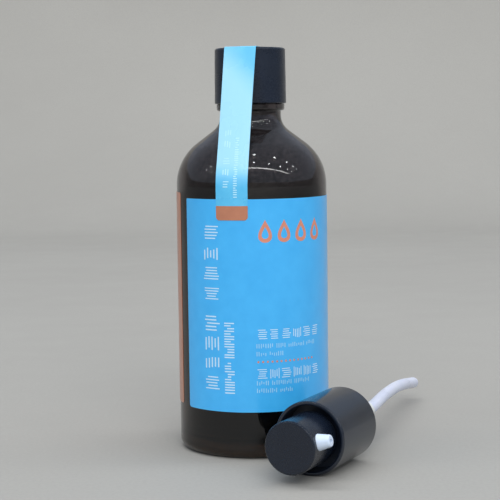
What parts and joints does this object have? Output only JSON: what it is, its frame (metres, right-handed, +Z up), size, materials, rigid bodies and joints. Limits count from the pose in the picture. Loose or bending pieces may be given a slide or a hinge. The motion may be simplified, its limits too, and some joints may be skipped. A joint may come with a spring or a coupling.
{
  "type": "pump oil bottle",
  "caption": "Round amber glass oil bottle with a screw cap, wrap labels and a seal strip, and its press-button dispensing pump with dip tube lying beside it.",
  "frame": {"origin": "on the bottle's axis, in the plane of the surface that the bottle stands on", "axes": "+Z up along the bottle's axis; -Y is the front, where the front label and the seal strip's lower end are; the pump lies at +X with its button towards -Y"},
  "size_m": [0.0801, 0.1233, 0.1196],
  "materials": {
    "amber_glass": "polished dark amber glass",
    "cap_black": "smooth black polypropylene, satin to gloss",
    "liner_foam": "expanded polyethylene foam",
    "front_film": "blue printed polypropylene label film, satin",
    "back_film": "printed label film with a copper-orange border",
    "seal_film": "light blue seal film",
    "collar_black": "satin black plastic",
    "closure_black": "moulded polypropylene",
    "gasket_pe": "soft polyethylene",
    "housing_pp": "natural polypropylene",
    "turret_black": "moulded black plastic",
    "stem_pp": "natural polypropylene",
    "piston_pe": "soft polyethylene",
    "steel": "stainless steel",
    "button_black": "satin black plastic",
    "nozzle_white": "white plastic",
    "tube_pe": "translucent polyethylene"
  },
  "bodies": {
    "bottle": {"glass_bottle": "amber_glass", "front_label": "front_film", "back_label": "back_film", "seal_strip_front": "seal_film", "seal_strip_back": "seal_film"},
    "liner": {"cap_liner": "liner_foam"},
    "cap": {"cap_shell": "cap_black", "seal_strip_top": "seal_film"},
    "pump": {"pump_housing": "housing_pp", "stem_retainer": "turret_black", "neck_gasket": "gasket_pe", "dip_tube": "tube_pe", "return_spring": "steel"},
    "closure": {"threaded_closure": "closure_black", "collar_sleeve": "collar_black"},
    "plunger": {"pump_stem": "stem_pp", "pump_piston": "piston_pe", "piston_rod": "stem_pp"},
    "button": {"actuator_button": "button_black", "nozzle_insert": "nozzle_white"},
    "inlet_ball": {"inlet_ball": "steel"}
  },
  "joints": [
    {"name": "liner_lift", "type": "slide", "parent": "bottle", "child": "liner", "axis": [0, 0, 1], "range_m": [0, 0.0161]},
    {"name": "cap_turn", "type": "hinge", "parent": "liner", "child": "cap", "pos_m": [0, 0, 0.1111], "axis": [0, 0, 1], "range_deg": [0, 1800]},
    {"name": "pump_lift", "type": "slide", "parent": "bottle", "child": "pump", "axis": [0, 0, 1], "range_m": [0, 0.13]},
    {"name": "closure_spin", "type": "hinge", "parent": "pump", "child": "closure", "pos_m": [0.01941, -0.03328, 0.0105], "axis": [-0.4493, -0.8934, 0], "continuous": true},
    {"name": "pump_press", "type": "slide", "parent": "pump", "child": "plunger", "axis": [0.4493, 0.8934, 0], "range_m": [0, 0.0036], "stiffness_N_per_m": 1400, "springref_m": -0.003, "deforming": ["return_spring"]},
    {"name": "button_swivel", "type": "hinge", "parent": "plunger", "child": "button", "pos_m": [0.01357, -0.04489, 0.0105], "axis": [-0.4493, -0.8934, 0], "continuous": true},
    {"name": "inlet_ball_lift", "type": "slide", "parent": "pump", "child": "inlet_ball", "axis": [-0.4493, -0.8934, 0], "range_m": [0, 0.0008]}
  ],
  "couplings": [
    {"joint": "liner_lift", "follows": "cap_turn", "m_per_rad": 0.0005093}
  ]
}
